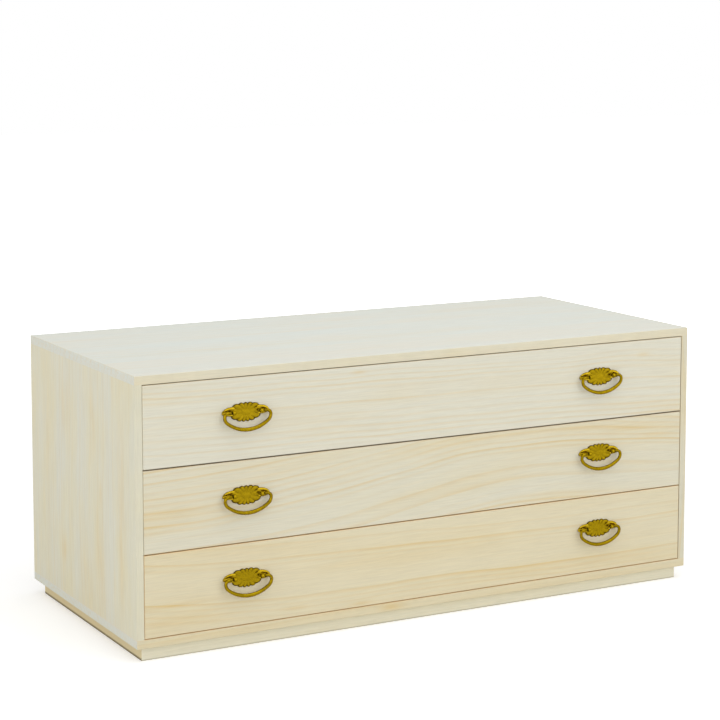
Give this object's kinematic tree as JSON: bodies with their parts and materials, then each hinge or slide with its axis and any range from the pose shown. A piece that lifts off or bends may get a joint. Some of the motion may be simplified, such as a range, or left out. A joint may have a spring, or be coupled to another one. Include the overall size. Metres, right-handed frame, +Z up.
{
  "type": "low kimono chest of drawers",
  "caption": "Low wide clothing chest in pale paulownia, with full-width sliding drawers on a recessed plinth and brass petal-plate bail pulls.",
  "frame": {"origin": "on the floor, under the middle of the case", "axes": "+X along the chest's length, -Y is the side that the drawers open towards, +Z is up"},
  "size_m": [0.965, 0.4411, 0.416],
  "materials": {
    "paulownia_board": "planed, unfinished pale paulownia",
    "wooden_peg": "split hardwood peg",
    "pull_brass": "cast, darkened in the recesses, satin on top"
  },
  "bodies": {
    "case": {"top_board": "paulownia_board", "bottom_board": "paulownia_board", "left_side_board": "paulownia_board", "right_side_board": "paulownia_board", "back_panel": "paulownia_board", "plinth_front": "paulownia_board", "plinth_back": "paulownia_board", "plinth_left": "paulownia_board", "plinth_right": "paulownia_board", "plinth_bearer": "paulownia_board", "lower_divider_front_rail": "paulownia_board", "lower_divider_back_rail": "paulownia_board", "lower_divider_left_runner": "paulownia_board", "lower_divider_right_runner": "paulownia_board", "lower_divider_dust_panel": "paulownia_board", "upper_divider_front_rail": "paulownia_board", "upper_divider_back_rail": "paulownia_board", "upper_divider_left_runner": "paulownia_board", "upper_divider_right_runner": "paulownia_board", "upper_divider_dust_panel": "paulownia_board", "left_kicker": "paulownia_board", "right_kicker": "paulownia_board", "plinth_pegs": "wooden_peg"},
    "lower_left_bail_swing": {"lower_left_bail": "pull_brass"},
    "lower_right_bail_swing": {"lower_right_bail": "pull_brass"},
    "lower_drawer": {"lower_drawer_front": "paulownia_board", "lower_drawer_left_side": "paulownia_board", "lower_drawer_right_side": "paulownia_board", "lower_drawer_back": "paulownia_board", "lower_drawer_bottom": "paulownia_board", "lower_drawer_pegs": "wooden_peg", "lower_left_pull_plate": "pull_brass", "lower_left_eye_posts": "pull_brass", "lower_right_pull_plate": "pull_brass", "lower_right_eye_posts": "pull_brass"},
    "middle_left_bail_swing": {"middle_left_bail": "pull_brass"},
    "middle_right_bail_swing": {"middle_right_bail": "pull_brass"},
    "middle_drawer": {"middle_drawer_front": "paulownia_board", "middle_drawer_left_side": "paulownia_board", "middle_drawer_right_side": "paulownia_board", "middle_drawer_back": "paulownia_board", "middle_drawer_bottom": "paulownia_board", "middle_drawer_pegs": "wooden_peg", "middle_left_pull_plate": "pull_brass", "middle_left_eye_posts": "pull_brass", "middle_right_pull_plate": "pull_brass", "middle_right_eye_posts": "pull_brass"},
    "upper_left_bail_swing": {"upper_left_bail": "pull_brass"},
    "upper_right_bail_swing": {"upper_right_bail": "pull_brass"},
    "upper_drawer": {"upper_drawer_front": "paulownia_board", "upper_drawer_left_side": "paulownia_board", "upper_drawer_right_side": "paulownia_board", "upper_drawer_back": "paulownia_board", "upper_drawer_bottom": "paulownia_board", "upper_drawer_pegs": "wooden_peg", "upper_left_pull_plate": "pull_brass", "upper_left_eye_posts": "pull_brass", "upper_right_pull_plate": "pull_brass", "upper_right_eye_posts": "pull_brass"}
  },
  "joints": [
    {"name": "lower_drawer_slide", "type": "slide", "parent": "case", "child": "lower_drawer", "axis": [0, -1, 0], "range_m": [0, 0.33]},
    {"name": "lower_left_bail_hinge", "type": "hinge", "parent": "lower_drawer", "child": "lower_left_bail_swing", "pos_m": [-0.31, -0.223, 0.10572], "axis": [-1, 0, 0], "range_deg": [-9, 189]},
    {"name": "lower_right_bail_hinge", "type": "hinge", "parent": "lower_drawer", "child": "lower_right_bail_swing", "pos_m": [0.31, -0.223, 0.10572], "axis": [-1, 0, 0], "range_deg": [-9, 189]},
    {"name": "middle_drawer_slide", "type": "slide", "parent": "case", "child": "middle_drawer", "axis": [0, -1, 0], "range_m": [0, 0.33]},
    {"name": "middle_left_bail_hinge", "type": "hinge", "parent": "middle_drawer", "child": "middle_left_bail_swing", "pos_m": [-0.31, -0.223, 0.22845], "axis": [-1, 0, 0], "range_deg": [-9, 189]},
    {"name": "middle_right_bail_hinge", "type": "hinge", "parent": "middle_drawer", "child": "middle_right_bail_swing", "pos_m": [0.31, -0.223, 0.22845], "axis": [-1, 0, 0], "range_deg": [-9, 189]},
    {"name": "upper_drawer_slide", "type": "slide", "parent": "case", "child": "upper_drawer", "axis": [0, -1, 0], "range_m": [0, 0.33]},
    {"name": "upper_left_bail_hinge", "type": "hinge", "parent": "upper_drawer", "child": "upper_left_bail_swing", "pos_m": [-0.31, -0.223, 0.35118], "axis": [-1, 0, 0], "range_deg": [-9, 189]},
    {"name": "upper_right_bail_hinge", "type": "hinge", "parent": "upper_drawer", "child": "upper_right_bail_swing", "pos_m": [0.31, -0.223, 0.35118], "axis": [-1, 0, 0], "range_deg": [-9, 189]}
  ]
}
